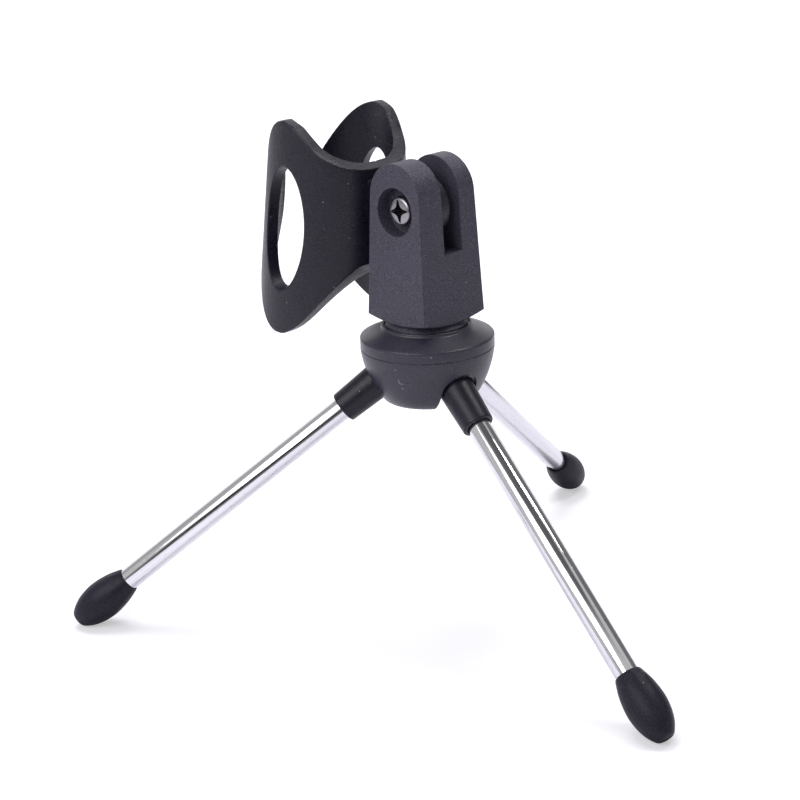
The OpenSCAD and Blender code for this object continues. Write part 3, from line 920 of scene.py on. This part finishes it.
def build_tube(number, sizes):
    """Plated tube: a thin round wall with its own map, once round and once along."""
    total, r = sizes.leg_length / MM, sizes.tube_radius / MM
    ends = (6.0, total - 12.0)
    bore = r - TUBE_WALL
    outline = rounded([(bore, ends[0] + 1), (bore, ends[0]), (r, ends[0]),
                       (r, ends[1]), (bore, ends[1]), (bore, ends[1] - 1)], 0.15, 3)
    profile = np.vstack([outline, outline[:1]])
    place = leg_frame(number, sizes)
    obj = make_piece(f"plated_tube_{number + 1}", [placed(revolved(profile, 96), place)],
                     "mirror_plate", f"leg_{number + 1}",
                     [f"leg_tube_{number + 1}"], sharp=50)
    mesh = obj.data
    spots = np.empty(len(mesh.vertices) * 3)
    mesh.vertices.foreach_get("co", spots)
    back = np.array(place.inverted())
    local = spots.reshape(-1, 3) @ back[:3, :3].T + back[:3, 3]
    corners = np.empty(len(mesh.loops), np.int32)
    mesh.loops.foreach_get("vertex_index", corners)
    turn = np.arctan2(local[:, 1], local[:, 0]) / (2 * np.pi) + 0.5
    flat = np.stack([turn, local[:, 2] / 100], -1)[corners]
    layer = mesh.uv_layers.new(name="plate")
    layer.data.foreach_set("uv", flat.ravel())
    return obj


# Foot outline in millimetres: radius and distance from the tip, at a largest radius of 5.2
FOOT_LINE = [(0.0, 0.0), (1.2, 0.02), (1.9, 0.12), (2.35, 0.38), (2.85, 1.0), (3.36, 1.8),
             (3.84, 2.7), (4.28, 3.8), (4.68, 5.2), (4.98, 6.9), (5.12, 8.5), (5.1, 10.0),
             (4.88, 12.1), (4.5, 14.2), (3.98, 16.0), (3.6, 17.2), (3.42, 17.6)]
FOOT_RADIUS = 5.2


def build_foot(number, sizes):
    """Rubber foot: a smooth egg carried round the tube's axis, with a seam ridge and a nub.

    The ridge is a narrow bell of 0.05 mm about the seam's plane; the nub a small bell by the
    mouth on the side that faces up.
    """
    scale = sizes.foot_radius / MM / FOOT_RADIUS
    nub_turn, nub_height = np.pi / 2 - 0.35, 15.2
    line = curve(FOOT_LINE, 72) * [scale, 1]
    lip = rounded([line[-1], (3.3, 17.8), (3.02, 17.8), (3.02, 14.0)], 0.25, 4)[1:]
    profile = np.vstack([line, lip, [(0.0, 14.0)]])
    a = np.linspace(0, 2 * np.pi, 160, endpoint=False)[:, None]
    r, z = profile[None, :, 0], profile[None, :, 1]
    skin = (np.arange(len(profile)) < len(line))[None]
    seam = np.exp(-((np.sin(a) * r / 0.16) ** 2)) * 0.05 * np.clip(r / 2, 0, 1)
    away = np.arctan2(np.sin(a + nub_turn), np.cos(a + nub_turn))
    nub = 0.3 * np.exp(-((away * 4.4) ** 2 + (z - nub_height) ** 2) / 0.5)
    r = r + (seam + nub) * skin
    part = placed(grid(np.stack([r * np.cos(a), r * np.sin(a), z + 0 * a], -1), close_u=True),
                  leg_frame(number, sizes))
    return make_piece(f"rubber_foot_{number + 1}", [part], "grained_rubber", f"leg_{number + 1}",
                      [f"foot_{number + 1}"], sharp=60)


# ---- stage

CAMERA_PLACE = (-0.3417, -0.3560, 0.2282)
CAMERA_BACK = (-0.6443, -0.6924, 0.3247)
CAMERA_SIDE = (*CAMERA_BACK[:2], 0)
CAMERA_ROLL = -2.35
CAMERA_LENS = 90.63

# Patches of the mirrored room: direction, cosines where it starts and is full, brightness
ROOM = (((0.64, 0.69, 0.12), 0.5, 0.72, 1.0),
        ((-0.29, 0.80, 0.53), 0.88, 0.95, 0.42),
        ((0.85, -0.15, 0.50), 0.84, 0.92, 0.17),
        ((-0.10, -0.05, 1.00), 0.87, 0.94, 0.12))


def area_light(name, place, target, size, watts):
    """A rectangular lamp at a place, turned to face a target."""
    data = bpy.data.lights.new(name, "AREA")
    data.shape = "RECTANGLE"
    data.size, data.size_y = size
    data.energy = watts
    obj = bpy.data.objects.new(name, data)
    bpy.context.scene.collection.objects.link(obj)
    obj.location = place
    obj.rotation_euler = (Vector(place) - Vector(target)).to_track_quat("Z", "Y").to_euler()
    return obj


def studio_sky():
    """World: plain white to the camera; mirrors see a white sweep and the room's dark parts.

    Each part of the room is a round patch about one direction that fades over its border;
    the camera's side is a low strip, grey below and black above. All other light is
    one soft even level.
    """
    world = bpy.data.worlds.new("light_room")
    bpy.context.scene.world = world
    tree = blank(world)
    link = tree.links.new
    way = node(tree, "ShaderNodeTexCoord").outputs["Generated"]

    def blend(factor, a, b):
        """Value a carried into value b by a factor."""
        made = node(tree, "ShaderNodeMix", data_type="FLOAT")
        link(factor, made.inputs[0])
        for value, socket in ((a, made.inputs[2]), (b, made.inputs[3])):
            if isinstance(value, bpy.types.NodeSocket):
                link(value, socket)
            else:
                socket.default_value = value
        return made.outputs[0]

    level = 0.55
    for direction, starts, full, value in ROOM:
        patch = ramp(tree, cosine(tree, way, direction), 0.0, 1.0, starts, full)
        level = blend(patch, level, value)
    height = cosine(tree, way, (0, 0, 1))
    low = ramp(tree, height, 1.0, 0.0, 0.26, 0.33)
    near = ramp(tree, cosine(tree, way, CAMERA_SIDE), 0.0, 1.0, 0.5, 0.75)
    strip = ramp(tree, height, 0.2, 0.015, 0.08, 0.13)
    level = blend(calc(tree, "MULTIPLY", low, near), level, strip)
    mirrored_room = node(tree, "ShaderNodeBackground", Color=(1.0, 1.0, 1.0, 1.0))
    link(level, mirrored_room.inputs["Strength"])
    seen = node(tree, "ShaderNodeBackground", Color=(1.0, 1.0, 1.0, 1.0), Strength=1.0)
    lit = node(tree, "ShaderNodeBackground", Color=(0.97, 0.97, 1.0, 1.0), Strength=0.2)
    by_ray(tree, "ShaderNodeOutputWorld", lit, mirrored_room, seen)


def floor_finish():
    """Pale matt sweep. The camera sees it lifted to white, less the stand's own shadow.

    Mirrors see it grey from half a metre on, on the camera's side.
    """
    mat = bpy.data.materials.new("pale_sweep")
    tree = blank(mat)
    link = tree.links.new
    place = node(tree, "ShaderNodeTexCoord").outputs["Object"]
    along = cosine(tree, place, CAMERA_SIDE)
    far = node(tree, "ShaderNodeVectorMath", operation="LENGTH")
    link(place, far.inputs[0])
    matt = node(tree, "ShaderNodeBsdfDiffuse", Color=(0.64, 0.635, 0.69, 1.0))
    mirrored = node(tree, "ShaderNodeBsdfDiffuse")
    link(mix(tree, ramp(tree, along, 0.0, 1.0, 0.35, 0.6), (0.84, 0.83, 0.9), (0.16, 0.16, 0.17)),
         mirrored.inputs["Color"])
    lift = node(tree, "ShaderNodeEmission", Color=(1.0, 1.0, 1.0, 1.0))
    link(ramp(tree, far.outputs["Value"], 0.46, 1.0, 0.25, 1.0), lift.inputs["Strength"])
    both = tree.nodes.new("ShaderNodeAddShader")
    link(matt.outputs[0], both.inputs[0])
    link(lift.outputs[0], both.inputs[1])
    by_ray(tree, "ShaderNodeOutputMaterial", matt, mirrored, both)
    return mat


# ---- operators

class MICSTAND_OT_clip(bpy.types.Operator):
    """Builds the slotted clip with its windows, web and knuckle"""

    bl_idname = "micstand.clip"
    bl_label = "Clip"

    def execute(self, context):
        build_clip(context.scene.stand_sizes)
        return {"FINISHED"}


class MICSTAND_OT_fork(bpy.types.Operator):
    """Builds the moulded fork that the clip tilts in"""

    bl_idname = "micstand.fork"
    bl_label = "Fork"

    def execute(self, context):
        build_fork(context.scene.stand_sizes)
        return {"FINISHED"}


class MICSTAND_OT_hub(bpy.types.Operator):
    """Builds the hub's cap and finishes its bowl"""

    bl_idname = "micstand.hub"
    bl_label = "Hub"

    def execute(self, context):
        build_hub_cap(context.scene.stand_sizes)
        dress_node("hub_bowl", "charcoal_satin")
        return {"FINISHED"}


class MICSTAND_OT_legs(bpy.types.Operator):
    """Builds the three legs: moulded root, plated tube and rubber foot"""

    bl_idname = "micstand.legs"
    bl_label = "Legs"

    def execute(self, context):
        sizes = context.scene.stand_sizes
        for number in range(LEGS):
            build_root(number, sizes)
            build_tube(number, sizes)
            build_foot(number, sizes)
        return {"FINISHED"}


class MICSTAND_OT_hardware(bpy.types.Operator):
    """Finishes the screws, nut, bush, stud and cross pins"""

    bl_idname = "micstand.hardware"
    bl_label = "Hardware"

    def execute(self, context):
        build_screw()
        dress_node("yoke_insert", "turned_brass")
        pins = [f"leg_pin_{number + 1}" for number in range(LEGS)]
        for name in ("pivot_nut", "hub_stud", "hub_screws", *pins):
            dress_node(name, "zinc_steel")
        return {"FINISHED"}


class MICSTAND_OT_studio(bpy.types.Operator):
    """Sets the pale sweep, the soft lamps and the camera"""

    bl_idname = "micstand.studio"
    bl_label = "Studio"

    def execute(self, context):
        scene = context.scene
        scene.view_settings.view_transform = "Standard"
        studio_sky()
        sweep = bpy.data.meshes.new("sweep")
        side = 6.0
        sweep.from_pydata([(-side, -side, 0), (side, -side, 0), (side, side, 0), (-side, side, 0)],
                          [], [(0, 1, 2, 3)])
        sweep.materials.append(floor_finish())
        floor = bpy.data.objects.new("sweep", sweep)
        scene.collection.objects.link(floor)
        middle = (0.0, 0.0, 0.07)
        area_light("left_box", (-0.68, -0.04, 0.57), middle, (0.7, 0.5), 3.5)
        area_light("right_box", (0.37, -0.2, 0.85), middle, (0.14, 0.3), 1.8)
        overhead = area_light("top_box", (0.12, 0.3, 0.85), middle, (0.5, 0.5), 6.0)
        overhead.visible_glossy = False
        back = Vector(CAMERA_BACK).normalized()
        right = Vector((0, 0, 1)).cross(back).normalized()
        turned = Matrix.Rotation(math.radians(CAMERA_ROLL), 3, back)
        right = turned @ right
        up = back.cross(right)
        data = bpy.data.cameras.new("view")
        data.lens = CAMERA_LENS
        data.sensor_width = 36.0
        data.clip_start = 0.01
        camera = bpy.data.objects.new("view", data)
        scene.collection.objects.link(camera)
        camera.matrix_world = (Matrix.Translation(CAMERA_PLACE)
                               @ Matrix((right, up, back)).transposed().to_4x4())
        scene.camera = camera
        return {"FINISHED"}


class MICSTAND_PT_panel(bpy.types.Panel):
    """Lists the stand's sizes, colours and building steps"""

    bl_label = "Microphone Stand"
    bl_idname = "MICSTAND_PT_panel"
    bl_space_type = "VIEW_3D"
    bl_region_type = "UI"
    bl_category = "Mic Stand"

    def draw(self, context):
        for group in (context.scene.stand_sizes, context.scene.stand_colours):
            column = self.layout.column()
            for name in group.__annotations__:
                column.prop(group, name)
        for step in STEPS:
            self.layout.operator(step.bl_idname)


STEPS = (MICSTAND_OT_clip, MICSTAND_OT_fork, MICSTAND_OT_hub, MICSTAND_OT_legs,
         MICSTAND_OT_hardware, MICSTAND_OT_studio)
CLASSES = (StandSizes, StandColours, *STEPS, MICSTAND_PT_panel)


def register():
    """Adds the classes and hangs the sizes and colours on the scene."""
    for cls in CLASSES:
        bpy.utils.register_class(cls)
    bpy.types.Scene.stand_sizes = bpy.props.PointerProperty(type=StandSizes)
    bpy.types.Scene.stand_colours = bpy.props.PointerProperty(type=StandColours)


def unregister():
    """Takes away all that register added."""
    del bpy.types.Scene.stand_colours
    del bpy.types.Scene.stand_sizes
    for cls in reversed(CLASSES):
        bpy.utils.unregister_class(cls)


def main():
    """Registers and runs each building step."""
    register()
    bpy.ops.micstand.clip()
    bpy.ops.micstand.fork()
    bpy.ops.micstand.hub()
    bpy.ops.micstand.legs()
    bpy.ops.micstand.hardware()
    bpy.ops.micstand.studio()


if __name__ == "__main__":
    main()
